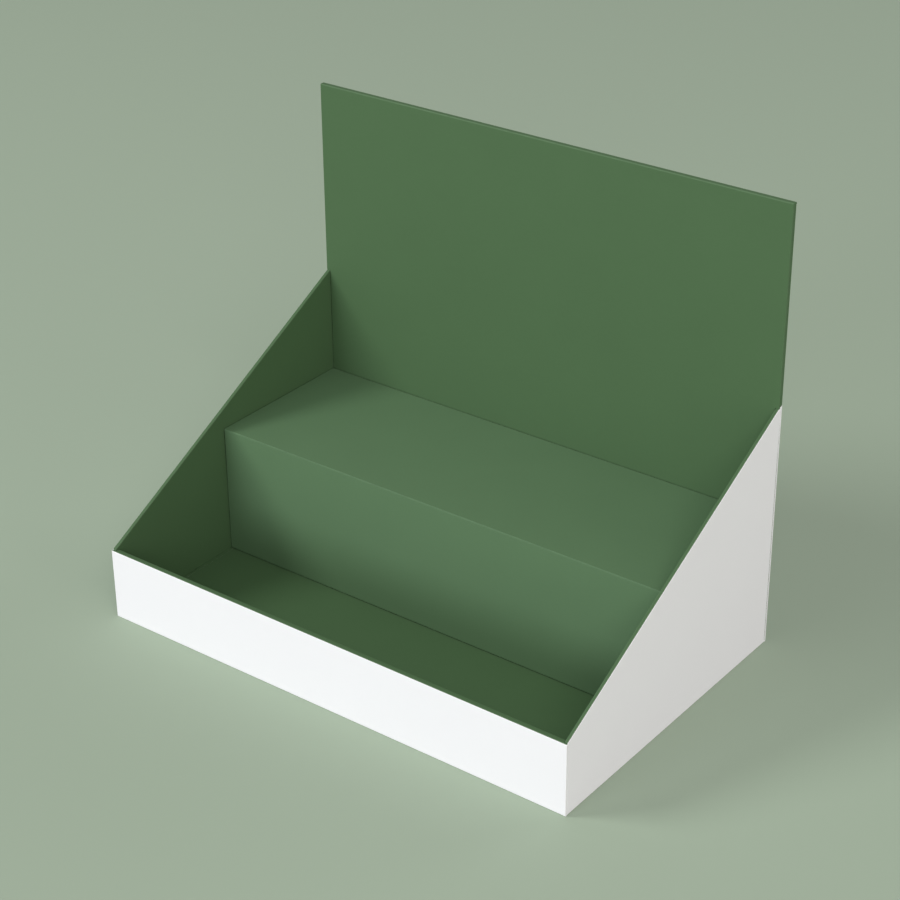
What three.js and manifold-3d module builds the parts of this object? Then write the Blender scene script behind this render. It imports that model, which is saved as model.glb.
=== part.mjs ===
// Counter display box: a folded tray with double walls and a tall header, and a folded riser step in it.
// Millimetres, +Z up. The origin is the middle of the footprint, on the surface that the tray stands on.
// +X is the right-hand side and +Y the rear, seen by a shopper who faces the open front.

import * as THREE from "three";
import { mergeVertices } from "three/addons/utils/BufferGeometryUtils.js";
import Module from "manifold-3d";

// Driving dimensions of the tray
const boxWidth = 300; // outside, left to right
const boxDepth = 191; // outside, front to rear
const frontHeight = 42.5; // top of the front wall
const sideRearHeight = 144; // where the sloping side edge ends at the back
const headerHeight = 255; // top of the header

// The sheet and the way it folds
const board = 1; // thickness of the sheet
const layerGap = 0.1; // air between two layers of a folded wall
const foldRadius = 0.6; // outer radius of a crease
const panelClearance = 0.3; // between the end of a turned-in panel and the wall beside it
const cornerFlapLength = 34; // flaps of the side walls, tucked into the front wall and the back wall
const cornerFlapDrop = 6; // how far those flaps stay below the top of their wall
const headerHem = 22; // hem turned in along the upright edges of the header

// Lock tabs of the turned-in panels, pushed through slots in the floor
const tabLength = 26;
const tabClearance = 0.3; // round a tab in its slot
const tabRecess = 0.1; // from the end of a tab up to the underside of the floor
const frontTabSpacing = 140; // between the two tabs of the front wall, and of the header panel
const sideTabSpacing = 96; // between the two tabs of a side wall
const tabsPerWall = 2;

// The riser step
const riserSetback = 91; // from the outside of the front wall to the front of the step
const riserHeight = 77.9; // of the step itself
const riserEndGap = 0.5; // between an end of the step and the side wall beside it
const seatGap = 0.3; // under the step and behind it
const glueFlapWidth = 22; // lap that closes the step into a sleeve
const glueMargin = 3; // from the edges of that lap to its line of glue

// Colours and fineness
const greenPrint = 0x557650;
const riserGreen = 0x587a55;
const paperRoughness = 0.75;
const foldFineness = 3; // a quarter turn has twice as many flats
const gridSteps = 10000; // steps in a millimetre that every corner is rounded to, so that flush faces are flush
const beyond = 20; // how far a cutting block reaches past what it cuts

// Layers of the walls, counted inwards from the outside
const twoLayers = 2 * board + layerGap;
const threeLayers = 3 * board + 2 * layerGap;
const nextLayer = board + layerGap;
const halfWidth = boxWidth / 2;
const halfDepth = boxDepth / 2;
const sideInner = halfWidth - twoLayers; // inside of a side wall
const frontInner = -halfDepth + threeLayers; // inside of the front wall
const backInner = halfDepth - threeLayers; // inside of the back wall and front of the header
const sideFront = -halfDepth + nextLayer; // a side wall starts behind the front panel
const sideRear = halfDepth - nextLayer; // and ends before the back panel

// Sloping edge of the side walls: its height at a distance along the depth
const slope = (sideRearHeight - frontHeight) / boxDepth;
const slopeHeight = (y) => frontHeight + slope * (y + halfDepth);
const squareToSlope = 1 / Math.cos(Math.atan(slope)); // upright reach of 1 mm measured square to the slope

const wasm = await Module();
wasm.setup();

// Turns a closed three.js geometry into a solid that can be joined and cut
function solidOf(geometry) {
  const bare = geometry.clone();
  bare.deleteAttribute("normal");
  bare.deleteAttribute("uv");
  const merged = mergeVertices(bare);
  const onGrid = (value) => Math.round(value * gridSteps) / gridSteps;
  const vertProperties = Float32Array.from(merged.getAttribute("position").array, onGrid);
  const triVerts = Uint32Array.from(merged.index.array);
  return new wasm.Manifold(new wasm.Mesh({ numProp: 3, vertProperties, triVerts }));
}

// Turns a solid back into a three.js geometry
function geometryOf(solid) {
  const mesh = solid.getMesh();
  const geometry = new THREE.BufferGeometry();
  geometry.setAttribute("position", new THREE.BufferAttribute(Float32Array.from(mesh.vertProperties), 3));
  geometry.setIndex(new THREE.BufferAttribute(Uint32Array.from(mesh.triVerts), 1));
  geometry.computeVertexNormals();
  return geometry;
}

// Directions that a flat outline and its depth take when it is carried along an axis
const alongX = new THREE.Matrix4().makeBasis(
  new THREE.Vector3(0, 1, 0),
  new THREE.Vector3(0, 0, 1),
  new THREE.Vector3(1, 0, 0),
);
const alongMinusY = new THREE.Matrix4().makeBasis(
  new THREE.Vector3(1, 0, 0),
  new THREE.Vector3(0, 0, 1),
  new THREE.Vector3(0, -1, 0),
);
// Along the slope the outline stays upright, and is stretched upwards so that it is true when seen along the slope
const downSlope = new THREE.Matrix4().makeBasis(
  new THREE.Vector3(1, 0, 0),
  new THREE.Vector3(0, 0, squareToSlope),
  new THREE.Vector3(0, -1, -slope),
);

function carried(shape, depth, turn, start) {
  const geometry = new THREE.ExtrudeGeometry(shape, { depth, bevelEnabled: false, curveSegments: foldFineness });
  geometry.applyMatrix4(turn);
  geometry.translate(...start);
  return solidOf(geometry);
}

// Outlines in the YZ plane carried from x0 to x1, in the XZ plane from y0 to y1, in the XY plane from z0 to z1
const carriedAlongX = (shape, x0, x1) => carried(shape, x1 - x0, alongX, [x0, 0, 0]);
const carriedAlongY = (shape, y0, y1) => carried(shape, y1 - y0, alongMinusY, [0, y1, 0]);
const carriedAlongZ = (shape, z0, z1) => carried(shape, z1 - z0, new THREE.Matrix4(), [0, 0, z0]);

function outline(points) {
  return new THREE.Shape(points.map(([u, v]) => new THREE.Vector2(u, v)));
}

function block(x0, x1, y0, y1, z0, z1) {
  const geometry = new THREE.BoxGeometry(x1 - x0, y1 - y0, z1 - z0);
  geometry.translate((x0 + x1) / 2, (y0 + y1) / 2, (z0 + z1) / 2);
  return solidOf(geometry);
}

// Section of a sheet that turns left through a right angle at every crease.
// The points run along its outer face, which is on the right of the way they run.
// The outer face goes round each crease on an arc, and the inner face meets there in a corner.
function foldedSection(outerFace) {
  const points = outerFace.map(([u, v]) => new THREE.Vector2(u, v));
  const ways = points.slice(1).map((point, i) => point.clone().sub(points[i]).normalize().round());
  const inward = ways.map((way) => new THREE.Vector2(-way.y, way.x));
  const last = points.length - 1;
  const shape = new THREE.Shape();
  shape.moveTo(points[0].x, points[0].y);
  for (let i = 1; i < last; i += 1) {
    const centre = points[i].clone().addScaledVector(inward[i - 1], foldRadius).addScaledVector(inward[i], foldRadius);
    const startAngle = Math.atan2(-inward[i - 1].y, -inward[i - 1].x);
    shape.absarc(centre.x, centre.y, foldRadius, startAngle, startAngle + Math.PI / 2, false);
  }
  shape.lineTo(points[last].x, points[last].y);
  const end = points[last].clone().addScaledVector(inward[last - 1], board);
  shape.lineTo(end.x, end.y);
  for (let i = last - 1; i > 0; i -= 1) {
    const corner = points[i].clone().addScaledVector(inward[i - 1], board).addScaledVector(inward[i], board);
    shape.lineTo(corner.x, corner.y);
  }
  const begin = points[0].clone().addScaledVector(inward[0], board);
  shape.lineTo(begin.x, begin.y);
  return shape;
}

// The same solid on the other side of the middle plane
function mirrored(solid) {
  const geometry = geometryOf(solid);
  geometry.scale(-1, 1, 1);
  const corners = geometry.index.array;
  for (let i = 0; i < corners.length; i += 3) {
    [corners[i + 1], corners[i + 2]] = [corners[i + 2], corners[i + 1]];
  }
  return solidOf(geometry);
}

const joined = (solids) => solids.reduce((sum, solid) => sum.add(solid));

// Places of the lock tabs along a wall, evenly about its middle
function tabPlaces(spacing) {
  return Array.from({ length: tabsPerWall }, (_, i) => (i - (tabsPerWall - 1) / 2) * spacing);
}

// Floor, front wall, back wall and header: one run of the sheet, rolled over at the front and at the top
function rolledRun() {
  const section = foldedSection([
    [frontInner, nextLayer],
    [frontInner, frontHeight],
    [-halfDepth, frontHeight],
    [-halfDepth, 0],
    [halfDepth, 0],
    [halfDepth, headerHeight],
    [backInner, headerHeight],
    [backInner, nextLayer],
  ]);
  const run = carriedAlongX(section, -halfWidth, halfWidth);
  // The turned-in panels end beside the side walls, and above those the header is as wide as the box
  const shoulder = slopeHeight(halfDepth - twoLayers) + layerGap;
  const room = outline([
    [-halfDepth + board, -beyond],
    [halfDepth - board, -beyond],
    [halfDepth - board, shoulder],
    [backInner - beyond, shoulder],
    [-halfDepth + board, frontHeight + beyond],
  ]);
  const rightRoom = carriedAlongX(room, sideInner - panelClearance, halfWidth + beyond);
  return run.subtract(rightRoom).subtract(mirrored(rightRoom));
}

// Floor between the creases of the side walls
function floorPanel() {
  const edge = halfWidth - board;
  const front = -halfDepth + board;
  const rear = halfDepth - board;
  return block(-edge, edge, front, rear, 0, board);
}

// Right side wall: outer panel, roll-over along the slope, inner panel and the two corner flaps
function sideWall() {
  const outerPanelIn = halfWidth - board;
  const lap = 2 * board; // how far a crease piece runs on into the flat panels
  const flapFoot = nextLayer;
  const frontFlapTop = frontHeight - cornerFlapDrop;
  const rearFlapTop = sideRearHeight - cornerFlapDrop;
  const topCut = lap * squareToSlope;
  const outerPanel = carriedAlongX(outline([
    [sideFront + lap, flapFoot],
    [sideRear - lap, flapFoot],
    [sideRear - lap, rearFlapTop],
    [sideRear, rearFlapTop],
    [sideRear, slopeHeight(sideRear) - topCut],
    [sideFront, slopeHeight(sideFront) - topCut],
    [sideFront, frontFlapTop],
    [sideFront + lap, frontFlapTop],
  ]), outerPanelIn, halfWidth);

  const footCrease = carriedAlongY(foldedSection([
    [outerPanelIn - lap, 0],
    [halfWidth, 0],
    [halfWidth, lap + board],
  ]), sideFront, sideRear);
  const flapNotches = joined([
    block(outerPanelIn - lap - beyond, halfWidth + beyond, sideFront - beyond, sideFront + lap, flapFoot, frontFlapTop),
    block(outerPanelIn - lap - beyond, halfWidth + beyond, sideRear - lap, sideRear + beyond, flapFoot, rearFlapTop),
  ]);

  const rollOver = carried(foldedSection([
    [halfWidth, -lap - board],
    [halfWidth, 0],
    [sideInner, 0],
    [sideInner, -lap - board],
  ]), sideRear - sideFront, downSlope, [0, sideRear, slopeHeight(sideRear)]);

  const innerFront = -halfDepth + twoLayers + layerGap;
  const innerRear = halfDepth - twoLayers - layerGap;
  const innerPanel = carriedAlongX(outline([
    [innerFront, nextLayer],
    [innerRear, nextLayer],
    [innerRear, slopeHeight(innerRear) - topCut],
    [innerFront, slopeHeight(innerFront) - topCut],
  ]), sideInner, sideInner + board);

  const frontFlap = carriedAlongZ(foldedSection([
    [halfWidth - cornerFlapLength, sideFront],
    [halfWidth, sideFront],
    [halfWidth, sideFront + lap + board],
  ]), flapFoot, frontFlapTop);
  const rearFlap = carriedAlongZ(foldedSection([
    [halfWidth, sideRear - lap - board],
    [halfWidth, sideRear],
    [halfWidth - cornerFlapLength, sideRear],
  ]), flapFoot, rearFlapTop);

  return joined([
    outerPanel,
    footCrease.subtract(flapNotches),
    rollOver,
    innerPanel,
    frontFlap,
    rearFlap,
  ]);
}

// Hem turned in along the right edge of the header, and the notch that its crease takes from the back panel
function headerHemParts() {
  const lap = 2 * board;
  const hemFace = halfDepth - twoLayers;
  const hemFoot = slopeHeight(halfDepth - nextLayer) + layerGap;
  const hemTop = headerHeight - nextLayer;
  const hem = carriedAlongZ(foldedSection([
    [halfWidth - headerHem, hemFace],
    [halfWidth, hemFace],
    [halfWidth, halfDepth],
    [halfWidth - lap - board, halfDepth],
  ]), hemFoot, hemTop);
  const notch = block(
    halfWidth - lap, halfWidth + beyond, halfDepth - board - layerGap / 2, halfDepth + beyond, hemFoot, hemTop,
  );
  return { hem, notch };
}

// Lock tabs of every turned-in panel, and the slots that they go through
function tabsAndSlots() {
  const tabTop = nextLayer + board; // each tab runs up into its panel
  const slotTop = board + layerGap / 2;
  const tabs = [];
  const slots = [];
  for (const x of tabPlaces(frontTabSpacing)) {
    for (const layerFront of [frontInner - board, backInner]) {
      const x0 = x - tabLength / 2;
      const x1 = x + tabLength / 2;
      const layerRear = layerFront + board;
      tabs.push(block(x0, x1, layerFront, layerRear, tabRecess, tabTop));
      slots.push(block(
        x0 - tabClearance, x1 + tabClearance, layerFront - tabClearance, layerRear + tabClearance, -beyond, slotTop,
      ));
    }
  }
  for (const y of tabPlaces(sideTabSpacing)) {
    const y0 = y - tabLength / 2;
    const y1 = y + tabLength / 2;
    const tab = block(sideInner, sideInner + board, y0, y1, tabRecess, tabTop);
    const slot = block(
      sideInner - tabClearance, halfWidth - board, y0 - tabClearance, y1 + tabClearance, -beyond, slotTop,
    );
    tabs.push(tab, mirrored(tab));
    slots.push(slot, mirrored(slot));
  }
  return { tabs: joined(tabs), slots: joined(slots) };
}

// The whole tray, one folded sheet
function displayTray() {
  const side = sideWall();
  const { hem, notch } = headerHemParts();
  const { tabs, slots } = tabsAndSlots();
  return joined([rolledRun(), floorPanel(), side, mirrored(side)])
    .subtract(notch)
    .subtract(mirrored(notch))
    .add(hem)
    .add(mirrored(hem))
    .subtract(slots)
    .add(tabs);
}

// The riser step: one sheet folded into a sleeve that is open at its ends, closed by a glued lap inside its rear
function riserStep() {
  const length = 2 * (sideInner - riserEndGap);
  const front = -halfDepth + riserSetback;
  const rear = backInner - seatGap;
  const foot = board + seatGap;
  const top = foot + riserHeight;
  const lapFace = rear - nextLayer;
  const sleeve = carriedAlongX(foldedSection([
    [rear, foot],
    [rear, top],
    [front, top],
    [front, foot],
    [lapFace, foot],
    [lapFace, foot + glueFlapWidth],
  ]), -length / 2, length / 2);
  const glueLine = block(
    -length / 2 + glueMargin, length / 2 - glueMargin,
    lapFace - board / 2, rear - board / 2,
    foot + glueMargin, foot + glueFlapWidth - glueMargin,
  );
  return sleeve.add(glueLine);
}

function namedMesh(name, solid, color) {
  const material = new THREE.MeshStandardMaterial({ color, roughness: paperRoughness, metalness: 0, flatShading: true });
  const mesh = new THREE.Mesh(geometryOf(solid), material);
  mesh.name = name;
  return mesh;
}

const counterDisplayBox = new THREE.Group();
counterDisplayBox.add(namedMesh("display_tray", displayTray(), greenPrint));
counterDisplayBox.add(namedMesh("riser_step", riserStep(), riserGreen));

export default counterDisplayBox;
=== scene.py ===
"""Counter display box: a folded tray with double walls and a tall header, and a folded step in it.

Every wall is the same sheet of fine-flute board, so every piece here is one kind of surface: the
section of the sheet, a thin rectangle with softened edges, is carried along the way that the sheet
folds. The print is white outside, and green inside, on the rolled edges and on the header.
"""

from __future__ import annotations

import logging
import math
from dataclasses import dataclass, field, fields
from enum import Enum, IntEnum

import bpy
import numpy as np
from mathutils import Matrix, Vector

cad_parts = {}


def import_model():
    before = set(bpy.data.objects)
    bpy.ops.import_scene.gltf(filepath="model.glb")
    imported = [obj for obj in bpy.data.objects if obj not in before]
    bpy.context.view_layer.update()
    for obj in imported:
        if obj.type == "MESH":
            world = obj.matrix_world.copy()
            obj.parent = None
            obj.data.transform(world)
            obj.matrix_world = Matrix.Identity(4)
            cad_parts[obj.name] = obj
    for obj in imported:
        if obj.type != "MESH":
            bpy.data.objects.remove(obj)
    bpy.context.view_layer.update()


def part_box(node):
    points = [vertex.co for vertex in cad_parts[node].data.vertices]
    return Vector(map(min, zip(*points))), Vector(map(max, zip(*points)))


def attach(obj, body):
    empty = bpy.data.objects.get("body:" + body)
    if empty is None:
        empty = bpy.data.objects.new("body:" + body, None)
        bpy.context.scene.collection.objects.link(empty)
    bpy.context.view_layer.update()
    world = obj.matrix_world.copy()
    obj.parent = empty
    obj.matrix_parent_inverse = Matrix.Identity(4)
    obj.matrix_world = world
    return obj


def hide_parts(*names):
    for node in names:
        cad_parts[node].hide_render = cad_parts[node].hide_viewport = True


MM = 0.001
QUARTER_TURN = math.pi / 2
ROOT_BODY = "root"
EDGE_ATTRIBUTE = "crease"
SHARP_ANGLE = math.radians(35)
PLACE_DECIMALS = 8
SHARE_DECIMALS = 7
TOLERANCE = 1e-9

log = logging.getLogger("counter_display_box")

Point = tuple[float, float]
Span = tuple[float, float]
Triple = tuple[float, float, float]
Socket = bpy.types.NodeSocket
Tree = bpy.types.NodeTree


class Face(Enum):
    """What a face of the sheet carries. The value is its material's place on every piece."""

    OUTSIDE = 0
    INSIDE = 1


class Axes(Enum):
    """Axes of the two directions of a sheet's section and, last, of its fold lines."""

    RUN = (1, 2, 0)
    SIDE = (0, 2, 1)
    UPRIGHT = (0, 1, 2)


class RunPanel(IntEnum):
    """Panels of the sheet's run along the depth, in their order."""

    FRONT_INNER = 0
    FRONT_EDGE = 1
    FRONT = 2
    FLOOR = 3
    BACK = 4
    HEADER_TOP = 5
    HEADER_INNER = 6


class SidePanel(IntEnum):
    """Panels of a side wall, in their order."""

    FOOT = 0
    OUTER = 1
    EDGE = 2
    INNER = 3


@dataclass(frozen=True)
class BoxPlan:
    """Sizes of the folded box, in metres, and the planes that follow from them."""

    width: float
    depth: float
    header_height: float
    step_front: float
    step_top: float
    front_height: float = 42.5 * MM
    side_rear_height: float = 144.0 * MM
    board: float = 1.0 * MM
    layer_gap: float = 0.1 * MM
    panel_clearance: float = 0.3 * MM
    flap_length: float = 34.0 * MM
    flap_drop: float = 6.0 * MM
    hem_width: float = 22.0 * MM
    hem_lap: float = 2.0 * MM
    floor_joint: float = 4.0 * MM
    tab_length: float = 26.0 * MM
    tab_clearance: float = 0.3 * MM
    tab_recess: float = 0.1 * MM
    front_tab_spacing: float = 140.0 * MM
    side_tab_spacing: float = 96.0 * MM
    step_end_gap: float = 0.5 * MM
    seat_gap: float = 0.3 * MM
    glue_flap: float = 22.0 * MM
    glue_margin: float = 3.0 * MM

    @property
    def half_width(self) -> float:
        """Outside of a side wall."""
        return self.width / 2

    @property
    def half_depth(self) -> float:
        """Outside of the front wall and of the back wall."""
        return self.depth / 2

    @property
    def next_layer(self) -> float:
        """From the outside of one layer to the outside of the next."""
        return self.board + self.layer_gap

    @property
    def two_layers(self) -> float:
        """Thickness of a side wall."""
        return self.board + self.next_layer

    @property
    def side_inner(self) -> float:
        """Inside of a side wall."""
        return self.half_width - self.two_layers

    @property
    def panel_end(self) -> float:
        """End of a turned-in panel beside a side wall."""
        return self.side_inner - self.panel_clearance

    @property
    def wall_inner(self) -> float:
        """Inside of the front wall and of the header, which have three layers."""
        return self.half_depth - self.board - 2 * self.next_layer

    @property
    def side_end(self) -> float:
        """End of a side wall, behind the front panel and before the back panel."""
        return self.half_depth - self.next_layer

    @property
    def hem_foot(self) -> float:
        """Foot of a header hem, just above the side wall."""
        return self.slope_height(self.side_end) + self.layer_gap

    @property
    def hem_top(self) -> float:
        """Top of a header hem, just under the header's rolled top."""
        return self.header_height - self.next_layer

    @property
    def slope(self) -> float:
        """Rise of the side wall's edge over its run."""
        return (self.side_rear_height - self.front_height) / self.depth

    def slope_height(self, y: np.ndarray | float) -> np.ndarray | float:
        """Height of the side wall's edge at a place along the depth."""
        return self.front_height + self.slope * (y + self.half_depth)

    @classmethod
    def from_frame(cls) -> BoxPlan:
        """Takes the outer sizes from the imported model.

        Returns:
            The plan, with the tray's box and the step's front and top as packed.
        """
        low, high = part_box("display_tray")
        step_low, step_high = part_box("riser_step")
        return cls(
            width=high.x - low.x,
            depth=high.y - low.y,
            header_height=high.z,
            step_front=step_low.y,
            step_top=step_high.z,
        )


@dataclass(frozen=True)
class Folding:
    """How the sheet goes round a crease and how its cut edge is softened.

    Lengths are in metres. clear_of_cut is how many softnesses from a cut end the next row may lie.
    """

    outer_radius: float = 0.6 * MM
    bead_radius: float = 0.04 * MM
    arc_steps: int = 9
    support: float = 0.35 * MM
    inner_blend: float = 1.2 * MM
    panel_step: float = 12.0 * MM
    softness: float = 0.14 * MM
    soft_steps: int = 3
    clear_of_cut: float = 1.5
    least_radius: float = 0.01 * MM
    step_length: float = 0.01 * MM


@dataclass
class Surface:
    """Corners, quads, each quad's face, and how far each corner lies on an edge or a crease."""

    corners: np.ndarray
    quads: np.ndarray
    faces: np.ndarray
    edge: np.ndarray

    def outward(self) -> Surface:
        """Turns the quads over where the volume inside, a sum of corner products, is negative.

        Returns:
            The surface, with its faces outwards.
        """
        a, b, c, d = (self.corners[self.quads[:, i]] for i in range(4))
        volume = np.einsum("ij,ij->", a, np.cross(b, c) + np.cross(c, d))
        quads = self.quads if volume > 0 else self.quads[:, ::-1]
        return Surface(self.corners, quads, self.faces, self.edge)

    def mirrored(self) -> Surface:
        """The same surface on the other side of the middle plane."""
        corners = self.corners * np.array([-1.0, 1.0, 1.0])
        return Surface(corners, self.quads, self.faces, self.edge).outward()


def joined(surfaces: list[Surface]) -> Surface:
    """Puts several closed surfaces into one, with the quads of each counted on from the last.

    Args:
        surfaces: The surfaces.

    Returns:
        One surface that holds them all.
    """
    counts = np.cumsum([0] + [len(s.corners) for s in surfaces[:-1]])
    return Surface(
        corners=np.concatenate([s.corners for s in surfaces]),
        quads=np.concatenate([s.quads + count for s, count in zip(surfaces, counts)]),
        faces=np.concatenate([s.faces for s in surfaces]),
        edge=np.concatenate([s.edge for s in surfaces]),
    )


@dataclass(frozen=True)
class Slot:
    """An opening through a sheet: its panel, and its spans along that and along the folds."""

    panel: int
    along: Span
    across: Span


@dataclass(frozen=True)
class Panel:
    """A flat panel of a section: its start, length, way and left, and which ends are creased."""

    number: int
    start: np.ndarray
    length: float
    way: np.ndarray
    left: np.ndarray
    creased_start: bool
    creased_end: bool


@dataclass
class Rows:
    """Rows of a section, with one entry each.

    outer and inner are the points on the two faces, and inset is how far the outline is drawn in.
    face is what the outer face carries, crease is 1 on a crease, and half is the half length of the
    fold lines. panel is the panel's number, or on a crease the half number between two.
    """

    outer: np.ndarray
    inner: np.ndarray
    inset: np.ndarray
    face: np.ndarray
    crease: np.ndarray
    half: np.ndarray
    panel: np.ndarray

    @classmethod
    def stacked(cls, runs: list[Rows]) -> Rows:
        """Puts runs of rows one after the other."""
        return cls(*(np.concatenate([getattr(r, f.name) for r in runs]) for f in fields(cls)))


@dataclass(frozen=True)
class Ring:
    """Order of the points in a row's outline: outer face, cut edge, inner face, cut edge."""

    columns: int
    arcs: int

    @property
    def count(self) -> int:
        """Points of the whole outline."""
        return 2 * self.inner_first

    @property
    def inner_first(self) -> int:
        """First point on the inner face."""
        return self.columns + 1 + 2 * self.arcs

    @property
    def cut_points(self) -> np.ndarray:
        """Points on the two cut edges."""
        return np.r_[self.columns + 1:self.inner_first, self.count - 2 * self.arcs:self.count]

    @property
    def cut_strips(self) -> np.ndarray:
        """Strips of the two cut edges, each numbered by its first point."""
        return np.r_[self.columns:self.inner_first, self.inner_first + self.columns:self.count]

    @property
    def inner_strips(self) -> slice:
        """Strips of the inner face."""
        return slice(self.inner_first, self.inner_first + self.columns)


@dataclass
class Sheet:
    """A sheet that turns left through a right angle at every crease of its section.

    Attributes:
        plan: Sizes of the box.
        axes: Directions of the section and of the fold lines.
        points: Corners of the section on the outer face, which is right of the way they run.
        faces: What each panel's outer face carries.
        inner: What the sheet's other side carries.
        reach: For a panel, places along it and the half length of the fold lines from there on.
            It holds over the next panels too. Panel 0 has one such pair, at its start.
        centre: Middle of the fold lines.
        flush: Whether the start and the end go on in another piece and are left sharp.
        joint_halves: Half lengths at which the sheet goes on in another piece and is left sharp.
        bleed: Height above which the outer face carries the inside's print.
        plain_ends: Panels and creases, by their numbers, whose longest cut ends are white.
        round_panels: Panels with outer edges as round as a crease at the ends of the fold lines.
        round_until: Height up to which they are.
        lifted: Whether the top follows the slope of the side walls.
        slots: Openings through the sheet.
        thickness: The sheet's own thickness, or None for the board's.
        folding: How creases and cut edges are made.
    """

    plan: BoxPlan
    axes: Axes
    points: list[Point]
    faces: list[Face]
    inner: Face
    reach: dict[int, list[tuple[float, float]]]
    centre: float = 0.0
    flush: tuple[bool, bool] = (False, False)
    joint_halves: tuple[float, ...] = ()
    bleed: float = math.inf
    plain_ends: tuple[float, ...] = ()
    round_panels: tuple[int, ...] = ()
    round_until: float = 0.0
    lifted: bool = False
    slots: list[Slot] = field(default_factory=list)
    thickness: float | None = None
    folding: Folding = field(default_factory=Folding)

    @property
    def board(self) -> float:
        """Thickness of this sheet."""
        return self.thickness or self.plan.board

    def _panels(self) -> list[Panel]:
        """Takes the section apart into its flat panels.

        Returns:
            The panels, in their order.
        """
        points = np.array(self.points, float)
        steps = np.diff(points, axis=0)
        lengths = np.linalg.norm(steps, axis=1)
        ways = steps / lengths[:, None]
        lefts = np.stack([-ways[:, 1], ways[:, 0]], axis=1)
        last = len(ways) - 1
        return [
            Panel(n, points[n], lengths[n], ways[n], lefts[n], n > 0, n < last)
            for n in range(last + 1)
        ]

    def _marks(self, panel: Panel) -> tuple[np.ndarray, np.ndarray]:
        """Distances of the rows along a flat panel, and how far each row's outline is drawn in.

        At a cut end the rows go round a quarter circle: a row at softness * (1 - cos a) from the
        end is drawn in by softness * (1 - sin a), with a from nothing to a right angle.

        Args:
            panel: The panel.

        Returns:
            The distances, rising, and the insets.
        """
        fold = self.folding
        low = fold.outer_radius * panel.creased_start
        high = panel.length - fold.outer_radius * panel.creased_end
        count = max(1, math.ceil((high - low) / fold.panel_step))
        steps = [place for place, _ in self.reach.get(panel.number, [])]
        marks = [
            np.linspace(low, high, count + 1),
            [low + fold.support, high - fold.support],
            [edge for place in steps for edge in (place, place + fold.step_length)],
            [edge for slot in self.slots if slot.panel == panel.number for edge in slot.along],
        ]
        along = np.unique(np.concatenate(marks).round(PLACE_DECIMALS))
        along = along[(along >= low - TOLERANCE) & (along <= high + TOLERANCE)]
        inset = np.zeros(len(along))
        quarter = np.linspace(0, QUARTER_TURN, fold.soft_steps + 1)
        away = fold.softness * (1 - np.cos(quarter))
        drawn = fold.softness * (1 - np.sin(quarter))
        clear = fold.clear_of_cut * fold.softness
        if not panel.creased_start and not self.flush[0]:
            kept = along > clear
            along = np.concatenate([away, along[kept]])
            inset = np.concatenate([drawn, inset[kept]])
        if not panel.creased_end and not self.flush[1]:
            kept = along < panel.length - clear
            along = np.concatenate([along[kept], (panel.length - away)[::-1]])
            inset = np.concatenate([inset[kept], drawn[::-1]])
        return along, inset

    def _under(self, panel: Panel, along: np.ndarray) -> np.ndarray:
        """Places of the inner face's points on a panel.

        They lie under the outer ones, except beside a crease, where the inner arc ends further from
        the corner: there they are pushed away by that difference, less and less over a short blend.

        Args:
            panel: The panel.
            along: Distances of the outer points.

        Returns:
            Distances of the inner points, rising.
        """
        fold = self.folding
        radius = fold.outer_radius
        shift = self.board + fold.bead_radius - radius
        room = panel.length - radius * (panel.creased_start + panel.creased_end)
        blend = min(fold.inner_blend, room / 2)
        after = np.clip(1 - (along - radius) / blend, 0, 1) * panel.creased_start
        before = np.clip(1 - (panel.length - radius - along) / blend, 0, 1) * panel.creased_end
        return along + shift * (after - before)

    def _half_after(self, number: int) -> float:
        """Half length of the fold lines at the end of a panel: the last one given up to there."""
        return [half for n in range(number + 1) for _, half in self.reach.get(n, [])][-1]

    def _panel_rows(self, panel: Panel) -> Rows:
        """Rows of a flat panel.

        A row's outer point is start + distance * way, and its inner one lies one board to the left.

        Args:
            panel: The panel.

        Returns:
            The rows.
        """
        along, inset = self._marks(panel)
        under = self._under(panel, along)
        half = np.full(len(along), self._half_after(max(panel.number - 1, 0)))
        for place, new_half in self.reach.get(panel.number, []):
            half[along > place + self.folding.step_length / 2] = new_half
        return Rows(
            outer=panel.start + along[:, None] * panel.way,
            inner=panel.start + under[:, None] * panel.way + self.board * panel.left,
            inset=inset,
            face=np.full(len(along), self.faces[panel.number].value),
            crease=np.zeros(len(along)),
            half=half,
            panel=np.full(len(along), float(panel.number)),
        )

    def _arc_rows(self, before: Panel, after: Panel) -> Rows:
        """Rows round a crease.

        Both faces run on arcs, centre - radius * (cos a * left before + sin a * left after), with a
        from nothing to a right angle: the outer arc inside the sheet's corner, and the inner one
        round a small bead that fills the inside of the crease. Each half has its panel's print.

        Args:
            before: The panel before the crease.
            after: The panel after it.

        Returns:
            The rows, without those that the panels have at their ends.
        """
        fold = self.folding
        angles = np.linspace(0, QUARTER_TURN, fold.arc_steps + 1)[1:-1, None]
        count = len(angles)
        both = before.left + after.left
        turn = np.cos(angles) * before.left + np.sin(angles) * after.left
        bead_centre = after.start + (self.board + fold.bead_radius) * both
        first, second = self.faces[before.number].value, self.faces[after.number].value
        return Rows(
            outer=after.start + fold.outer_radius * (both - turn),
            inner=bead_centre - fold.bead_radius * turn,
            inset=np.zeros(count),
            face=np.where(np.arange(count) < count / 2, first, second),
            crease=np.ones(count),
            half=np.full(count, self._half_after(before.number)),
            panel=np.full(count, before.number + 0.5),
        )

    def _rows(self) -> Rows:
        """All rows of the section, panels and creases in turn.

        Returns:
            The rows.
        """
        panels = self._panels()
        runs = [self._panel_rows(panels[0])]
        for before, after in zip(panels, panels[1:]):
            runs += [self._arc_rows(before, after), self._panel_rows(after)]
        rows = Rows.stacked(runs)
        rows.face[rows.outer[:, 1] > self.bleed] = Face.INSIDE.value
        return rows

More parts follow.
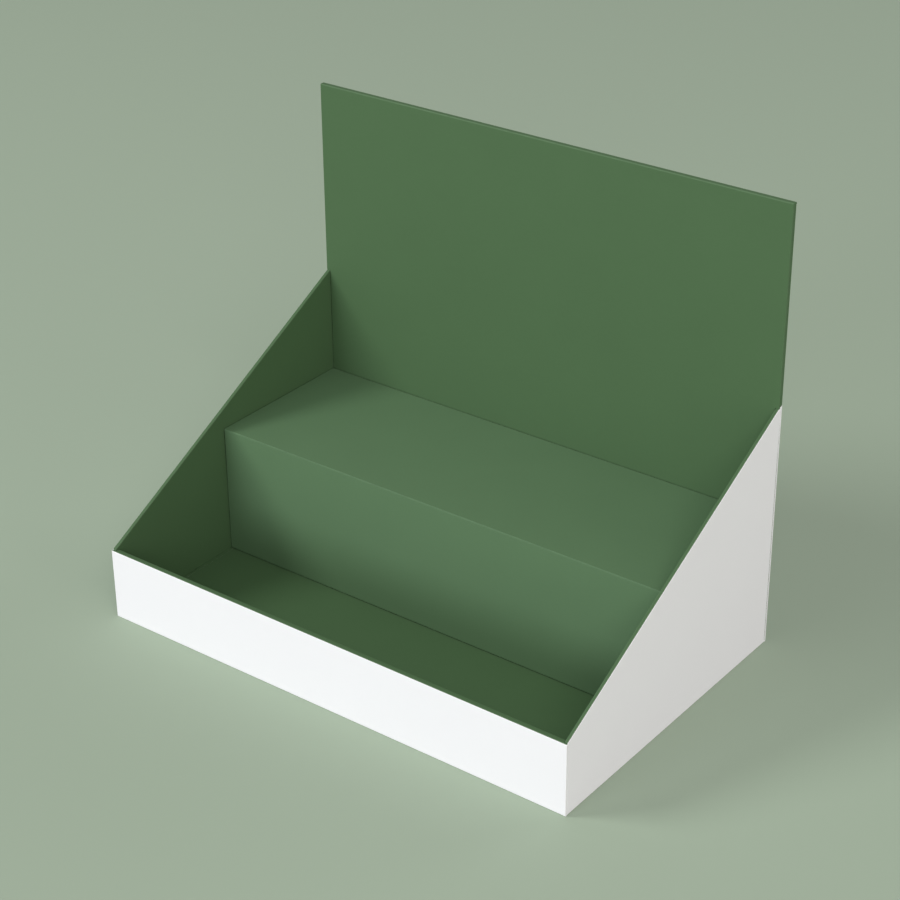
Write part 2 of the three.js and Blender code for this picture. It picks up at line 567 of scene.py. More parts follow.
    def _columns(self, half: float) -> np.ndarray:
        """Places of the columns along the fold lines, with one close to either end.

        Args:
            half: Half length of the fold lines.

        Returns:
            The places, as shares of the length.
        """
        fold = self.folding
        length = 2 * half
        count = max(2, math.ceil(length / fold.panel_step))
        near = fold.support / length
        edges = [(edge + half) / length for slot in self.slots for edge in slot.across]
        shares = np.concatenate([np.linspace(0, 1, count + 1), [near, 1 - near], edges])
        return np.unique(shares.round(SHARE_DECIMALS))

    def _outline(
        self, rows: Rows, shares: np.ndarray, jointed: np.ndarray
    ) -> tuple[np.ndarray, np.ndarray]:
        """Places of the outline's points along the fold lines and through the board.

        The outline is a thin rectangle, drawn in by the row's inset: the outer face, two quarter
        circles round the cut edge, the inner face back and two quarter circles round the other cut
        edge. A point on a quarter circle lies radius * (1 - sin a) in from the outline's corner one
        way and radius * (1 - cos a) the other way, with a from nothing to a right angle.

        Args:
            rows: The rows.
            shares: Places of the columns.
            jointed: Which rows go on in another piece at both ends.

        Returns:
            Both places, with a row for each row of the section.
        """
        fold = self.folding
        inset = rows.inset[:, None]
        low, high = inset - rows.half[:, None], rows.half[:, None] - inset
        top, bottom = inset, self.board - inset
        rounded = np.isin(rows.panel, self.round_panels) & (rows.outer[:, 1] < self.round_until)
        soft = np.where(jointed, fold.least_radius, fold.softness)[:, None]
        wide = np.where(rounded[:, None], fold.outer_radius, soft)
        r_out = np.maximum(wide - inset, fold.least_radius)
        r_in = np.maximum(soft - inset, fold.least_radius)
        quarter = np.linspace(0, QUARTER_TURN, fold.soft_steps + 1)[None, :]
        sine, cosine = np.sin(quarter), np.cos(quarter)
        flat_out = low + r_out + shares * (high - low - 2 * r_out)
        flat_in = low + r_in + shares * (high - low - 2 * r_in)
        along = [
            flat_out,
            (high - r_out + r_out * sine)[:, 1:],
            (high - r_in + r_in * cosine)[:, :-1],
            flat_in[:, ::-1],
            (low + r_in - r_in * sine)[:, 1:],
            (low + r_out - r_out * cosine)[:, :-1],
        ]
        through = [
            np.broadcast_to(top, flat_out.shape),
            (top + r_out - r_out * cosine)[:, 1:],
            (bottom - r_in + r_in * sine)[:, :-1],
            np.broadcast_to(bottom, flat_in.shape),
            (bottom - r_in + r_in * cosine)[:, 1:],
            (top + r_out - r_out * sine)[:, :-1],
        ]
        return np.concatenate(along, axis=1) + self.centre, np.concatenate(through, axis=1)

    def surface(self) -> Surface:
        """Carries the section's outline along the rows.

        A point of it is outer + share through the board * (inner - outer), at its place along the
        fold line.

        Returns:
            The closed surface, faces outwards.
        """
        rows = self._rows()
        slotted = rows.panel == self.slots[0].panel if self.slots else rows.half == rows.half.max()
        slot_half = float(rows.half[slotted].min())
        shares = self._columns(slot_half)
        ring = Ring(len(shares) - 1, self.folding.soft_steps)
        joints = np.array([self.joint_halves or (0.0,)])
        jointed = np.isclose(rows.half[:, None], joints).any(axis=1)
        along, through = self._outline(rows, shares, jointed)
        outer, inner = rows.outer[:, None, :], rows.inner[:, None, :]
        section = outer + (through / self.board)[:, :, None] * (inner - outer)
        if self.lifted:
            section = self._lift(section, along)
        corners = np.empty((len(along), ring.count, 3))
        across, up, folds = self.axes.value
        corners[:, :, across] = section[:, :, 0]
        corners[:, :, up] = section[:, :, 1]
        corners[:, :, folds] = along
        cut_edge = np.zeros(ring.count)
        cut_edge[ring.cut_points] = 1
        edge = np.maximum(rows.crease[:, None], cut_edge[None, :] * ~jointed[:, None])
        quads, faces = self._quads(rows, self._slot_cells(rows, shares, slot_half), ring)
        return Surface(corners.reshape(-1, 3), quads, faces, edge.reshape(-1)).outward()

    def _lift(self, section: np.ndarray, along: np.ndarray) -> np.ndarray:
        """Makes the top of a side wall follow the slope.

        A point that is a share s of the way up the wall moves to height + s * rise. The rise is
        slope height - front height - (front height - height) * (1 / cos of the slope's angle - 1),
        so that the roll-over is as thick as the board when it is measured square to the slope.

        Args:
            section: Points of the section, across and up.
            along: Their places along the depth.

        Returns:
            The moved points.
        """
        plan, fold = self.plan, self.folding
        height = section[:, :, 1]
        foot, top = plan.two_layers, plan.front_height - (fold.outer_radius + fold.support)
        share = np.clip((height - foot) / (top - foot), 0, 1)
        square = math.sqrt(1 + plan.slope ** 2) - 1
        drop = (plan.front_height - height) * square
        rise = plan.slope_height(along) - plan.front_height - drop
        return np.stack([section[:, :, 0], height + share * rise], axis=2)

    def _slot_cells(self, rows: Rows, shares: np.ndarray, half: float) -> np.ndarray:
        """Cells of the sheet that the slots take out: those whose middle lies in both spans.

        Args:
            rows: The rows.
            shares: Places of the columns.
            half: Half length of the fold lines where the slots are.

        Returns:
            A mask, with a line for each step between rows and a place for each between columns.
        """
        steps = np.linalg.norm(np.diff(rows.outer, axis=0), axis=1)
        lengths = np.concatenate([[0], np.cumsum(steps)])
        place = (shares[:-1] + shares[1:]) * half - half
        cut = np.zeros((len(steps), len(place)), bool)
        for slot in self.slots:
            first = lengths[np.flatnonzero(rows.panel == slot.panel)[0]]
            start = first - (self.folding.outer_radius if slot.panel else 0.0)
            middle = (lengths[:-1] + lengths[1:]) / 2 - start
            on_panel = rows.panel[:-1] == slot.panel
            inside = on_panel & (middle > slot.along[0]) & (middle < slot.along[1])
            beside = (place > slot.across[0]) & (place < slot.across[1])
            cut |= inside[:, None] & beside[None, :]
        return cut

    @staticmethod
    def _slot_walls(cut: np.ndarray, front: np.ndarray, back: np.ndarray) -> np.ndarray:
        """Quads through the board where a cut cell meets an uncut one.

        Args:
            cut: The cells that are cut.
            front: Numbers of the outer face's points, rows by columns.
            back: Numbers of the inner face's points under them.

        Returns:
            The quads.
        """
        padded = np.pad(cut, 1)
        borders = (
            (padded[:-2, 1:-1], (0, 0), (0, 1)),
            (padded[2:, 1:-1], (1, 1), (1, 0)),
            (padded[1:-1, :-2], (1, 0), (0, 0)),
            (padded[1:-1, 2:], (0, 1), (1, 1)),
        )
        walls = []
        for beyond, start, end in borders:
            row, column = np.nonzero(cut & ~beyond)
            first = row + start[0], column + start[1]
            second = row + end[0], column + end[1]
            walls.append(np.stack([front[first], back[first], back[second], front[second]], axis=1))
        return np.concatenate(walls)

    def _quads(self, rows: Rows, cut: np.ndarray, ring: Ring) -> tuple[np.ndarray, np.ndarray]:
        """Quads between the rows, round the slots and over the two ends.

        Args:
            rows: The rows of the section.
            cut: The cells that the slots take out.
            ring: The order of the outline's points.

        Returns:
            The quads and the face that each belongs to.
        """
        count, columns, inner_strips = len(rows.half), ring.columns, ring.inner_strips
        at = np.arange(count * ring.count).reshape(count, ring.count)
        after = np.roll(at, -1, axis=1)
        body = np.stack([at[:-1], at[1:], after[1:], after[:-1]], axis=2)
        faces = np.broadcast_to(rows.face[:-1, None], body.shape[:2]).copy()
        faces[:, inner_strips] = self.inner.value
        longest = np.isclose(rows.half[:-1], rows.half.max())
        plain = np.flatnonzero(np.isin(rows.panel[:-1], self.plain_ends) & longest)
        faces[np.ix_(plain, ring.cut_strips)] = Face.OUTSIDE.value
        kept = np.ones(body.shape[:2], bool)
        kept[:, :columns] &= ~cut
        kept[:, inner_strips] &= ~cut[:, ::-1]
        front = at[:, :columns + 1]
        back = at[:, ring.inner_first:ring.inner_first + columns + 1][:, ::-1]
        walls = self._slot_walls(cut, front, back)
        over = np.r_[ring.count - ring.arcs:ring.count, 0:columns + ring.arcs + 1]
        under = np.arange(ring.count - ring.arcs - 1, columns + ring.arcs, -1)
        start, end = at[0], at[-1]
        start_cap = [start[over[:-1]], start[over[1:]], start[under[1:]], start[under[:-1]]]
        end_cap = [end[over[:-1]], end[under[:-1]], end[under[1:]], end[over[1:]]]
        caps = [np.stack(cap, axis=1) for cap in (start_cap, end_cap)]
        marks = [
            faces[kept],
            np.full(len(walls), Face.INSIDE.value),
            np.full(len(caps[0]), rows.face[0]),
            np.full(len(caps[1]), rows.face[-1]),
        ]
        return np.concatenate([body[kept], walls, *caps]), np.concatenate(marks)


def noise(tree: Tree, place: Socket, scale: float, detail: float) -> Socket:
    """Adds a noise texture.

    Args:
        tree: The node tree.
        place: Where the noise is read.
        scale: Its scale.
        detail: Its detail.

    Returns:
        The noise, around a half.
    """
    node = tree.nodes.new("ShaderNodeTexNoise")
    node.inputs["Scale"].default_value = scale
    node.inputs["Detail"].default_value = detail
    tree.links.new(place, node.inputs["Vector"])
    return node.outputs["Fac"]


def reckoned(
    tree: Tree, operation: str, values: list[Socket | float], clamped: bool = False
) -> Socket:
    """Adds a Math node.

    Args:
        tree: The node tree.
        operation: What it does.
        values: What it does it with, each a socket or a number.
        clamped: Whether the result is kept between 0 and 1.

    Returns:
        The result.
    """
    node = tree.nodes.new("ShaderNodeMath")
    node.operation = operation
    node.use_clamp = clamped
    for socket, value in zip(node.inputs, values):
        if isinstance(value, float):
            socket.default_value = value
        else:
            tree.links.new(value, socket)
    return node.outputs[0]


@dataclass
class Groups:
    """Shader node groups that the prints share. Scales are in noise cells to the metre."""

    cloud_scale: float = 38.0
    cloud_detail: float = 4.0
    fibre_scale: float = 1500.0
    fibre_detail: float = 3.0
    fibre_stretch: Triple = (0.35, 1.0, 1.0)
    waver_scale: float = 9.0
    waver_detail: float = 1.0
    patch_scale: float = 160.0
    patch_detail: float = 2.0
    fibre: Tree = field(init=False)
    waver: Tree = field(init=False)
    edge: Tree = field(init=False)

    def __post_init__(self) -> None:
        """Builds the groups once."""
        self.fibre = self._paper_fibre()
        self.waver = self._board_waver()
        self.edge = self._edge_rub_and_painted_light()

    @staticmethod
    def _new(
        name: str, inputs: dict[str, tuple[str, object]], outputs: dict[str, str]
    ) -> tuple[Tree, bpy.types.Node, bpy.types.Node]:
        """Starts a group with its sockets.

        Args:
            name: The group's name.
            inputs: Socket type and default of each input.
            outputs: Socket type of each output.

        Returns:
            The group and its input and output nodes.
        """
        tree = bpy.data.node_groups.new(name, "ShaderNodeTree")
        for label, (kind, value) in inputs.items():
            socket = tree.interface.new_socket(name=label, in_out="INPUT", socket_type=kind)
            if value is not None:
                socket.default_value = value
        for label, kind in outputs.items():
            tree.interface.new_socket(name=label, in_out="OUTPUT", socket_type=kind)
        return tree, tree.nodes.new("NodeGroupInput"), tree.nodes.new("NodeGroupOutput")

    def _paper_fibre(self) -> Tree:
        """Cloudy tone and fine fibre of the liner: colour * (1 + amount * (cloud + fibre - 1)).

        Returns:
            The group, with inputs Position, Colour and Amount, and outputs Colour and Height.
        """
        tree, given, result = self._new(
            "paper_fibre",
            {
                "Position": ("NodeSocketVector", None),
                "Colour": ("NodeSocketColor", (1, 1, 1, 1)),
                "Amount": ("NodeSocketFloat", 0.1),
            },
            {"Colour": "NodeSocketColor", "Height": "NodeSocketFloat"},
        )
        link, place = tree.links.new, given.outputs["Position"]
        stretch = tree.nodes.new("ShaderNodeVectorMath")
        stretch.operation = "MULTIPLY"
        stretch.inputs[1].default_value = self.fibre_stretch
        link(place, stretch.inputs[0])
        cloud = noise(tree, place, self.cloud_scale, self.cloud_detail)
        fine = noise(tree, stretch.outputs[0], self.fibre_scale, self.fibre_detail)
        both = reckoned(tree, "ADD", [cloud, fine])
        centred = reckoned(tree, "SUBTRACT", [both, 1.0])
        gain = reckoned(tree, "MULTIPLY_ADD", [centred, given.outputs["Amount"], 1.0])
        tone = tree.nodes.new("ShaderNodeVectorMath")
        tone.operation = "SCALE"
        link(given.outputs["Colour"], tone.inputs[0])
        link(gain, tone.inputs["Scale"])
        link(tone.outputs[0], result.inputs["Colour"])
        link(fine, result.inputs["Height"])
        return tree

    def _board_waver(self) -> Tree:
        """Slow unevenness of a board panel: low noise, far wider than the fibre.

        Returns:
            The group, with the input Position and the output Height.
        """
        tree, given, result = self._new(
            "board_waver",
            {"Position": ("NodeSocketVector", None)},
            {"Height": "NodeSocketFloat"},
        )
        slow = noise(tree, given.outputs["Position"], self.waver_scale, self.waver_detail)
        tree.links.new(slow, result.inputs["Height"])
        return tree

    def _edge_rub_and_painted_light(self) -> Tree:
        """Mixes creases and cut edges to an edge tint by mask * noise * amount: rubbed, thinner
        print on the white and plain liners, a painted highlight on the sage print, painted shade on
        the step's print.

        Returns:
            The group, with inputs Position, Colour, the edge tint, Mask and Amount, and the output
            Colour.
        """
        tree, given, result = self._new(
            "edge_rub_and_painted_light",
            {
                "Position": ("NodeSocketVector", None),
                "Colour": ("NodeSocketColor", (1, 1, 1, 1)),
                "Rubbed and painted light tint": ("NodeSocketColor", (1, 1, 1, 1)),
                "Mask": ("NodeSocketFloat", 0.0),
                "Amount": ("NodeSocketFloat", 0.2),
            },
            {"Colour": "NodeSocketColor"},
        )
        link = tree.links.new
        patch = noise(tree, given.outputs["Position"], self.patch_scale, self.patch_detail)
        uneven = reckoned(tree, "MULTIPLY", [given.outputs["Mask"], patch])
        share = reckoned(tree, "MULTIPLY", [uneven, given.outputs["Amount"]], clamped=True)
        mix = tree.nodes.new("ShaderNodeMix")
        mix.data_type = "RGBA"
        link(share, mix.inputs["Factor"])
        link(given.outputs["Colour"], mix.inputs["A"])
        link(given.outputs["Rubbed and painted light tint"], mix.inputs["B"])
        link(mix.outputs["Result"], result.inputs["Colour"])
        return tree


@dataclass(frozen=True)
class PrintFinish:
    """Matt print on the board's liner. Colours are linear, reliefs are in metres."""

    name: str
    colour: Triple
    # The next two: the tint that creases and cut edges take and its share; rubbed print on the white
    # and plain liners, a painted highlight on the sage print, painted shade on the step's print.
    rubbed_and_painted_light_tint: Triple
    mottle: float
    rubbed_and_painted_light_share: float
    roughness: float
    specular: float
    fibre_relief: float = 0.012 * MM
    waver_relief: float = 0.25 * MM

    def material(self, groups: Groups) -> bpy.types.Material:
        """Builds the print: fibre and cloudy tone, creases and cut edges tinted for wear and painted
        light, and two bumps.

        Args:
            groups: The shared node groups.

        Returns:
            The material.
        """
        made = bpy.data.materials.new(self.name)
        made.use_nodes = True
        nodes, link = made.node_tree.nodes, made.node_tree.links.new
        shader = nodes["Principled BSDF"]
        shader.inputs["Roughness"].default_value = self.roughness
        shader.inputs["Specular IOR Level"].default_value = self.specular
        place = nodes.new("ShaderNodeTexCoord").outputs["Object"]
        mask = nodes.new("ShaderNodeAttribute")
        mask.attribute_name = EDGE_ATTRIBUTE
        fibre, edge, waver = (nodes.new("ShaderNodeGroup") for _ in range(3))
        for node, tree in ((fibre, groups.fibre), (edge, groups.edge), (waver, groups.waver)):
            node.node_tree = tree
            link(place, node.inputs["Position"])
        fibre.inputs["Colour"].default_value = (*self.colour, 1)
        fibre.inputs["Amount"].default_value = self.mottle
        edge.inputs["Rubbed and painted light tint"].default_value = (*self.rubbed_and_painted_light_tint, 1)
        edge.inputs["Amount"].default_value = self.rubbed_and_painted_light_share
        link(fibre.outputs["Colour"], edge.inputs["Colour"])
        link(mask.outputs["Fac"], edge.inputs["Mask"])
        link(edge.outputs["Colour"], shader.inputs["Base Color"])
        slow, fine = (nodes.new("ShaderNodeBump") for _ in range(2))
        slow.inputs["Distance"].default_value = self.waver_relief
        fine.inputs["Distance"].default_value = self.fibre_relief
        link(waver.outputs["Height"], slow.inputs["Height"])
        link(fibre.outputs["Height"], fine.inputs["Height"])
        link(slow.outputs["Normal"], fine.inputs["Normal"])
        link(fine.outputs["Normal"], shader.inputs["Normal"])
        return made


@dataclass(frozen=True)
class Finishes:
    """The prints of the box."""

    outside: PrintFinish = PrintFinish(
        name="white_print",
        colour=(0.88, 0.868, 0.90),
        rubbed_and_painted_light_tint=(0.88, 0.87, 0.86),
        mottle=0.015,
        rubbed_and_painted_light_share=0.4,
        roughness=0.5,
        specular=0.35,
    )
    inside: PrintFinish = PrintFinish(
        name="sage_print",
        colour=(0.070, 0.136, 0.060),
        # Lighter green on creases and cut edges: a painted highlight, the colour of the lit top
        # strips.
        rubbed_and_painted_light_tint=(0.12, 0.20, 0.11),
        mottle=0.06,
        rubbed_and_painted_light_share=0.6,
        roughness=0.62,
        specular=0.2,
    )
    step: PrintFinish = PrintFinish(
        name="sage_step_print",
        colour=(0.106, 0.193, 0.098),
        # Darker green on creases and cut edges: painted shade that damps the light the rounded
        # crease catches.
        rubbed_and_painted_light_tint=(0.08, 0.15, 0.075),
        mottle=0.06,
        rubbed_and_painted_light_share=1.0,
        roughness=0.62,
        specular=0.2,
    )
    plain: PrintFinish = PrintFinish(
        name="plain_liner",
        colour=(0.62, 0.60, 0.55),
        rubbed_and_painted_light_tint=(0.66, 0.64, 0.60),
        mottle=0.08,
        rubbed_and_painted_light_share=0.3,
        roughness=0.75,
        specular=0.35,
    )


def placed(
    name: str, surface: Surface, materials: list[bpy.types.Material]
) -> bpy.types.Object:
    """Puts a surface into the scene as a piece of the box.

    Args:
        name: The piece's name.
        surface: Its closed surface.
        materials: One material for each Face.

    Returns:
        The piece, on the root body.
    """
    mesh = bpy.data.meshes.new(name)
    mesh.from_pydata(surface.corners.tolist(), [], surface.quads.tolist())
    mesh.polygons.foreach_set("material_index", surface.faces.astype(np.int32))
    edge = mesh.attributes.new(EDGE_ATTRIBUTE, "FLOAT", "POINT")
    edge.data.foreach_set("value", surface.edge)
    mesh.polygons.foreach_set("use_smooth", np.ones(len(surface.quads), bool))
    mesh.set_sharp_from_angle(angle=SHARP_ANGLE)
    for material in materials:
        mesh.materials.append(material)
    mesh.update()
    piece = bpy.data.objects.new(name, mesh)
    bpy.context.scene.collection.objects.link(piece)
    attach(piece, ROOT_BODY)
    return piece


@dataclass
class DisplayTray:
    """The tray: floor, walls and header as one run of the sheet, side walls, hems, flaps, tabs."""

    plan: BoxPlan
    outside: bpy.types.Material
    inside: bpy.types.Material
    slot: str = "printed_board"
    tabs_per_wall: int = 2
    tab_play: float = 0.01 * MM

    def _tab_places(self, spacing: float) -> list[float]:
        """Middles of the lock tabs along a wall."""
        return [(i - (self.tabs_per_wall - 1) / 2) * spacing for i in range(self.tabs_per_wall)]

    def _tab_spans(self, spacing: float) -> list[Span]:
        """Spans of the slots along a wall, each a tab with its clearance."""
        half = self.plan.tab_length / 2 + self.plan.tab_clearance
        return [(place - half, place + half) for place in self._tab_places(spacing)]

    def run(self) -> Surface:
        """Floor, front, back and header, rolled over at the front edge and the header's top.

        Returns:
            The surface.
        """
        p = self.plan
        inner, depth, width = p.wall_inner, p.half_depth, p.half_width
        flush, hem_edge = width - p.floor_joint, width - p.hem_lap
        shoulder = p.slope_height(inner) + p.layer_gap
        front = (depth - inner - p.board - p.tab_clearance, depth - inner + p.tab_clearance)
        back = (p.depth - front[1], p.depth - front[0])
        spans = self._tab_spans(p.front_tab_spacing)
        return Sheet(
            plan=p,
            axes=Axes.RUN,
            points=[
                (-inner, p.next_layer),
                (-inner, p.front_height),
                (-depth, p.front_height),
                (-depth, 0.0),
                (depth, 0.0),
                (depth, p.header_height),
                (inner, p.header_height),
                (inner, p.next_layer),
            ],
            faces=[Face.INSIDE] * 2 + [Face.OUTSIDE] * 3 + [Face.INSIDE] * 2,
            inner=Face.INSIDE,
            reach={
                RunPanel.FRONT_INNER: [(0.0, p.panel_end)],
                RunPanel.FRONT_EDGE: [(depth - inner - p.board, width)],
                RunPanel.FLOOR: [(p.board, flush), (p.depth - p.board, width)],
                RunPanel.BACK: [(p.hem_foot, hem_edge), (p.hem_top, width)],
                RunPanel.HEADER_INNER: [(p.header_height - shoulder, p.panel_end)],
            },
            joint_halves=(flush, hem_edge),
            bleed=p.hem_top,
            plain_ends=(RunPanel.FRONT_EDGE, (RunPanel.FRONT_EDGE + RunPanel.FRONT) / 2),
            slots=[Slot(RunPanel.FLOOR, way, span) for way in (front, back) for span in spans],
        ).surface()

    def side(self) -> Surface:
        """Right side wall: foot crease, outer panel, roll-over along the slope and inner panel.

        Returns:
            The surface.
        """
        p = self.plan
        start = p.half_width - p.floor_joint
        slot = (p.panel_end - start, p.half_width - p.board - start)
        spans = self._tab_spans(p.side_tab_spacing)
        return Sheet(
            plan=p,
            axes=Axes.SIDE,
            points=[
                (start, 0.0),
                (p.half_width, 0.0),
                (p.half_width, p.front_height),
                (p.side_inner, p.front_height),
                (p.side_inner, p.next_layer),
            ],
            faces=[Face.OUTSIDE] * 2 + [Face.INSIDE] * 2,
            inner=Face.INSIDE,
            reach={
                SidePanel.FOOT: [(0.0, p.side_end)],
                SidePanel.INNER: [(p.board, p.half_depth - p.two_layers - p.layer_gap)],
            },
            flush=(True, False),
            round_panels=(SidePanel.OUTER,),
            round_until=p.front_height - p.flap_drop,
            lifted=True,
            slots=[Slot(SidePanel.FOOT, slot, span) for span in spans],
        ).surface()

    def _flat(
        self, points: list[Point], low: float, high: float, thickness: float | None = None
    ) -> Surface:
        """A flat upright panel.

        Args:
            points: Start and end of its outer face, seen from above.
            low: Height of its foot.
            high: Height of its top.
            thickness: Its thickness, or None for the board's.

        Returns:
            The surface.
        """
        return Sheet(
            plan=self.plan,
            axes=Axes.UPRIGHT,
            points=points,
            faces=[Face.INSIDE],
            inner=Face.INSIDE,
            reach={0: [(0.0, (high - low) / 2)]},
            centre=(low + high) / 2,
            thickness=thickness,
        ).surface()

    def flaps(self) -> list[Surface]:
        """Corner flaps of the right side wall, tucked into the front wall and the back wall.

        Returns:
            The front flap and the rear flap.
        """
        p = self.plan
        near, far = p.half_width - p.board, p.half_width - p.flap_length
        front = [(far, -p.side_end), (near, -p.side_end)]
        rear = [(near, p.side_end), (far, p.side_end)]
        return [
            self._flat(front, p.next_layer, p.front_height - p.flap_drop),
            self._flat(rear, p.next_layer, p.side_rear_height - p.flap_drop),
        ]

    def hem(self) -> Surface:
        """Hem turned in along the right edge of the header.

        Returns:
            The surface.
        """
        p = self.plan
        face = p.half_depth - p.two_layers
        return Sheet(
            plan=p,
            axes=Axes.UPRIGHT,
            points=[
                (p.half_width - p.hem_width, face),
                (p.half_width, face),
                (p.half_width, p.half_depth),
                (p.half_width - p.hem_lap, p.half_depth),
            ],
            faces=[Face.INSIDE, Face.INSIDE, Face.OUTSIDE],
            inner=Face.INSIDE,
            reach={0: [(0.0, (p.hem_top - p.hem_foot) / 2)]},
            centre=(p.hem_foot + p.hem_top) / 2,
            flush=(False, True),
        ).surface()

    def _tab(self, points: list[Point]) -> Surface:
        """One lock tab, from its slot in the floor up into its panel, thinner by a little play."""
        p = self.plan
        return self._flat(points, p.tab_recess, p.next_layer + p.board, p.board - 2 * self.tab_play)

    def tabs(self) -> Surface:
        """Lock tabs of the turned-in panels.

        Returns:
            One surface with all of them.
        """
        p, play = self.plan, self.tab_play
        half = p.tab_length / 2
        beside = p.side_inner + p.board - play
        made = []
        for place in self._tab_places(p.front_tab_spacing):
            for face in (-p.wall_inner - p.board + play, p.wall_inner + play):
                made.append(self._tab([(place - half, face), (place + half, face)]))
        for place in self._tab_places(p.side_tab_spacing):
            tab = self._tab([(beside, place - half), (beside, place + half)])
            made += [tab, tab.mirrored()]
        return joined(made)

    def build(self) -> list[bpy.types.Object]:
        """Builds the tray's pieces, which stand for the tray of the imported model.

        Returns:
            The pieces.
        """
        side = joined([self.side(), *self.flaps()])
        hem = self.hem()
        surfaces = {
            "tray_floor_walls_header": self.run(),
            "tray_side_right": side,
            "tray_side_left": side.mirrored(),
            "header_hem_right": hem,
            "header_hem_left": hem.mirrored(),
            "lock_tabs": self.tabs(),
        }
        prints = [self.outside, self.inside]
        pieces = [placed(name, shape, prints) for name, shape in surfaces.items()]
        for piece in pieces:
            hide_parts("display_tray")
        return pieces


@dataclass
class RiserStep:
    """The step: a sleeve that is open at its ends, closed by a glued lap inside its rear panel."""

    plan: BoxPlan
    outside: bpy.types.Material
    inside: bpy.types.Material
    slot: str = "riser_board"
    glue_softness: float = 0.02 * MM

    @property
    def rear(self) -> float:
        """Outside of the rear panel, close before the header panel."""
        return self.plan.wall_inner - self.plan.seat_gap

    @property
    def foot(self) -> float:
        """Underside, close above the tray floor."""
        return self.plan.board + self.plan.seat_gap

    @property
    def half_length(self) -> float:
        """Half the length of the sleeve."""
        return self.plan.side_inner - self.plan.step_end_gap

    def sleeve(self) -> Surface:
        """The folded sleeve.

        Returns:
            The surface.
        """
        p = self.plan
        lap = self.rear - p.next_layer
        return Sheet(
            plan=p,
            axes=Axes.RUN,
            points=[
                (self.rear, self.foot),
                (self.rear, p.step_top),
                (p.step_front, p.step_top),
                (p.step_front, self.foot),
                (lap, self.foot),
                (lap, self.foot + p.glue_flap),
            ],
            faces=[Face.OUTSIDE] * 5,
            inner=Face.INSIDE,
            reach={0: [(0.0, self.half_length)]},
        ).surface()

    def glue(self) -> Surface:
        """Line of glue between the lap and the rear panel.

        Returns:
            The surface.
        """
        p = self.plan
        face = self.rear - p.board
        low, high = self.foot + p.glue_margin, self.foot + p.glue_flap - p.glue_margin
        return Sheet(
            plan=p,
            axes=Axes.RUN,
            points=[(face, low), (face, high)],
            faces=[Face.INSIDE],
            inner=Face.INSIDE,
            reach={0: [(0.0, self.half_length - p.glue_margin)]},
            thickness=p.layer_gap,
            folding=Folding(softness=self.glue_softness),
        ).surface()

    def build(self) -> list[bpy.types.Object]:
        """Builds the step's pieces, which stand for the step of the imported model.

        Returns:
            The pieces.
        """
        prints = [self.outside, self.inside]
        pieces = [
            placed("riser_sleeve", self.sleeve(), prints),
            placed("riser_glue_line", self.glue(), prints),
        ]
        for piece in pieces:
            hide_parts("riser_step")
        return pieces


@dataclass(frozen=True)
class Softbox:
    """A soft round area light, in metres and watts."""

    name: str
    place: Triple
    size: float
    power: float
    colour: Triple = (1.0, 1.0, 1.0)
    aim: Triple = (0.0, 0.0, 0.08)

    def build(self) -> bpy.types.Object:
        """Puts the light in its place, turned to its aim.

        Returns:
            The light.
        """
        data = bpy.data.lights.new(self.name, "AREA")
        data.shape = "DISK"
        data.size = self.size
        data.energy = self.power
        data.color = self.colour
        light = bpy.data.objects.new(self.name, data)
        way = Vector(self.aim) - Vector(self.place)
        turn = way.to_track_quat("-Z", "Y").to_matrix().to_4x4()
        light.matrix_world = Matrix.Translation(self.place) @ turn
        bpy.context.scene.collection.objects.link(light)
        return light


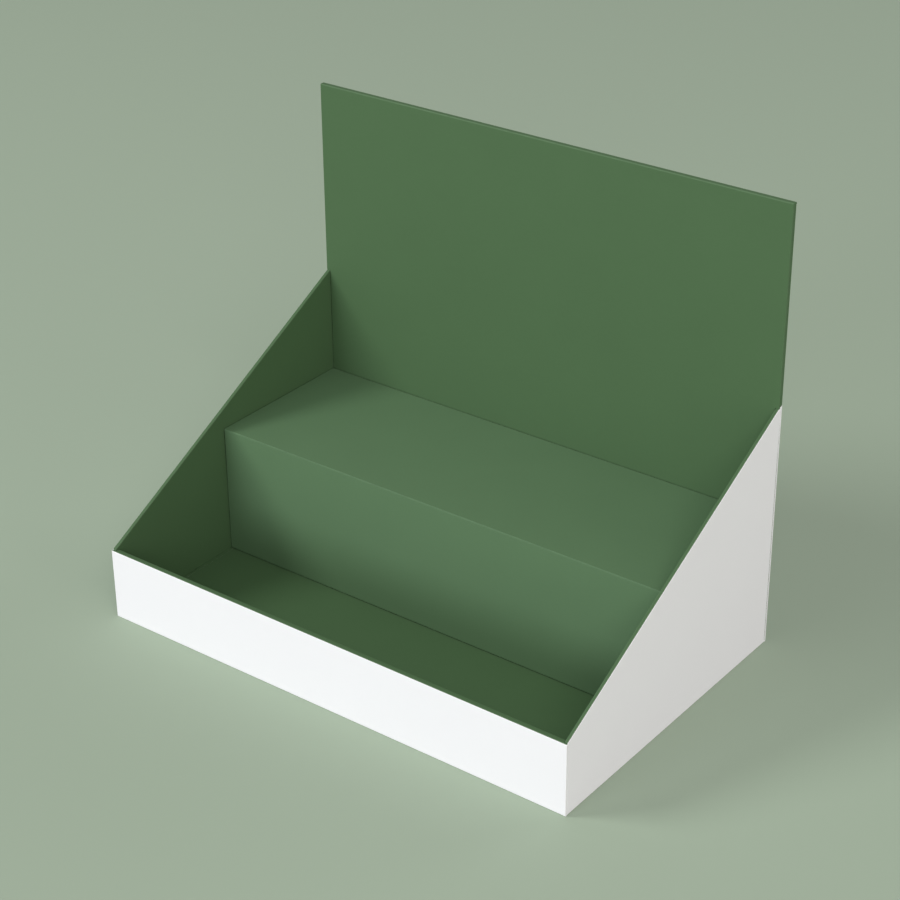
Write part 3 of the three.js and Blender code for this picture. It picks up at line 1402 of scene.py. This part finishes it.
@dataclass(frozen=True)
class Studio:
    """Plain pale floor, soft lights, and the camera at the photograph's angle."""

    floor_size: float = 80.0
    floor_colour: Triple = (0.345, 0.425, 0.325)
    floor_roughness: float = 0.85
    floor_specular: float = 0.2
    world_colour: Triple = (1.0, 1.0, 1.0)
    world_strength: float = 0.40
    camera_place: Triple = (0.62446, -0.80742, 0.66371)
    camera_right: Triple = (0.79764, 0.60309, -0.00691)
    camera_down: Triple = (0.28235, -0.38351, -0.87932)
    camera_forward: Triple = (-0.53296, 0.69943, -0.47619)
    lens: float = 88.698
    sensor: float = 36.0
    clip_start: float = 0.01
    lights: tuple[Softbox, ...] = (
        Softbox("key", (-2.6, -2.0, 2.6), size=1.6, power=72.0),
        Softbox("low_front", (-0.7, -3.8, 0.76), size=1.4, power=45.0, colour=(0.98, 0.99, 1.06)),
        Softbox("side_high", (2.4, -1.8, 3.0), size=1.8, power=36.0, colour=(1.04, 0.98, 0.97)),
        Softbox("side_front", (2.4, -3.0, 1.8), size=1.8, power=21.0),
        Softbox("side_low", (3.6, -0.6, 0.9), size=1.6, power=18.0, colour=(1.10, 0.96, 0.95)),
        Softbox("back", (1.4, 3.2, 1.6), size=2.0, power=20.0),
    )

    def _floor(self) -> None:
        """A square of plain pale board under the box, big enough for every view."""
        half = self.floor_size / 2
        corners = [(-half, -half, 0), (half, -half, 0), (half, half, 0), (-half, half, 0)]
        mesh = bpy.data.meshes.new("studio_floor")
        mesh.from_pydata(corners, [], [(0, 1, 2, 3)])
        material = bpy.data.materials.new("studio_floor")
        material.use_nodes = True
        shader = material.node_tree.nodes["Principled BSDF"]
        shader.inputs["Base Color"].default_value = (*self.floor_colour, 1)
        shader.inputs["Roughness"].default_value = self.floor_roughness
        shader.inputs["Specular IOR Level"].default_value = self.floor_specular
        mesh.materials.append(material)
        floor = bpy.data.objects.new("studio_floor", mesh)
        bpy.context.scene.collection.objects.link(floor)

    def _world(self) -> None:
        """Even light from all round."""
        world = bpy.data.worlds.new("studio")
        world.use_nodes = True
        background = world.node_tree.nodes["Background"]
        background.inputs["Color"].default_value = (*self.world_colour, 1)
        background.inputs["Strength"].default_value = self.world_strength
        bpy.context.scene.world = world

    def _camera(self) -> None:
        """The camera. The columns of its turn are right, up and backwards."""
        data = bpy.data.cameras.new("camera")
        data.lens = self.lens
        data.sensor_width = self.sensor
        data.sensor_fit = "HORIZONTAL"
        data.clip_start = self.clip_start
        camera = bpy.data.objects.new("camera", data)
        ways = (self.camera_right, self.camera_down, self.camera_forward)
        right, down, forward = (Vector(way) for way in ways)
        turn = Matrix((right, -down, -forward)).transposed()
        camera.matrix_world = Matrix.Translation(self.camera_place) @ turn.to_4x4()
        bpy.context.scene.collection.objects.link(camera)
        bpy.context.scene.camera = camera

    def build(self) -> None:
        """Builds the floor, the lights and the camera, and shows colours as they are."""
        bpy.context.scene.view_settings.view_transform = "Standard"
        self._floor()
        self._world()
        for light in self.lights:
            light.build()
        self._camera()


def main() -> None:
    """Builds the box and the studio."""
    logging.basicConfig(level=logging.INFO, format="%(message)s")
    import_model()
    plan = BoxPlan.from_frame()
    groups = Groups()
    finishes = Finishes()
    inside = finishes.inside.material(groups)
    tray = DisplayTray(plan, finishes.outside.material(groups), inside)
    step = RiserStep(plan, finishes.step.material(groups), finishes.plain.material(groups))
    for piece in tray.build() + step.build():
        log.info("%s: %d quads", piece.name, len(piece.data.polygons))
    Studio().build()


if __name__ == "__main__":
    main()
